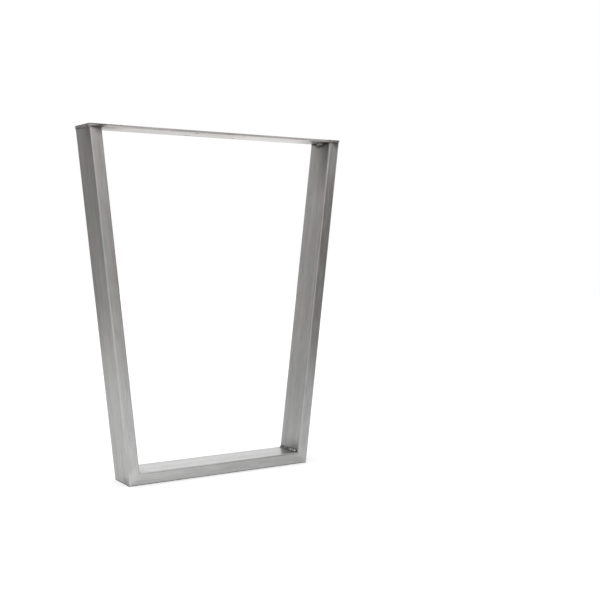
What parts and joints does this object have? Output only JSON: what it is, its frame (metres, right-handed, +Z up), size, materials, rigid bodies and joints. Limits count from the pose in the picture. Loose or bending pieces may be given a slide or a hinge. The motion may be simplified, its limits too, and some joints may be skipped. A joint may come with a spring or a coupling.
{
  "type": "v-shaped table leg",
  "caption": "Table leg: a welded V-shaped frame of rectangular steel tube, wide at the top and narrow at the floor, under a flat fixing plate with screw holes.",
  "frame": {"origin": "on the floor, under the middle of the bottom bar", "axes": "+Z up, X along the fixing plate, Y front to back"},
  "size_m": [0.5816, 0.075, 0.71],
  "materials": {
    "tube_steel": "satin, brushed along the tube",
    "plate_steel": "satin, brushed along the bar",
    "weld_metal": "bright rippled weld metal"
  },
  "bodies": {
    "root": {"top_plate": "plate_steel", "left_upright": "tube_steel", "right_upright": "tube_steel", "bottom_bar": "tube_steel", "left_outer_top_weld": "weld_metal", "left_inner_top_weld": "weld_metal", "left_inner_bottom_weld": "weld_metal", "right_outer_top_weld": "weld_metal", "right_inner_top_weld": "weld_metal", "right_inner_bottom_weld": "weld_metal"}
  },
  "joints": []
}
